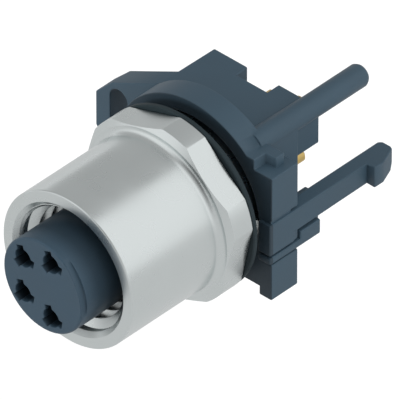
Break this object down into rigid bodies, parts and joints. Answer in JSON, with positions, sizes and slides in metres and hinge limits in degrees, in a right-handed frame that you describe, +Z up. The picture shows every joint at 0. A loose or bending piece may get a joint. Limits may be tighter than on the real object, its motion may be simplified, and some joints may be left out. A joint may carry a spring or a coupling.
{
  "type": "panel mount sensor connector",
  "caption": "Round female sensor connector with threaded metal sleeve, hexagon and sealing ring, screwed into a moulded board holder with peg, snap arm and slotted lug.",
  "frame": {"origin": "on the connector's axis, on the flat back of the housing's hexagon, which seats on the panel", "axes": "+Y along the axis from the mating face to the circuit board, +Z up, +X towards the snap arm"},
  "size_m": [0.0159, 0.0227, 0.012],
  "materials": {
    "nickel": "satin nickel plate",
    "seal": "matte",
    "insert": "moulded, fine grain",
    "gold": "gold plate",
    "holder": "moulded, fine grain"
  },
  "bodies": {
    "root": {"housing": "nickel", "panel_seal": "seal", "contact_insert": "insert", "insert_seal": "seal", "contact_1": "gold", "contact_2": "gold", "contact_3": "gold", "contact_4": "gold", "holder": "holder"}
  },
  "joints": []
}
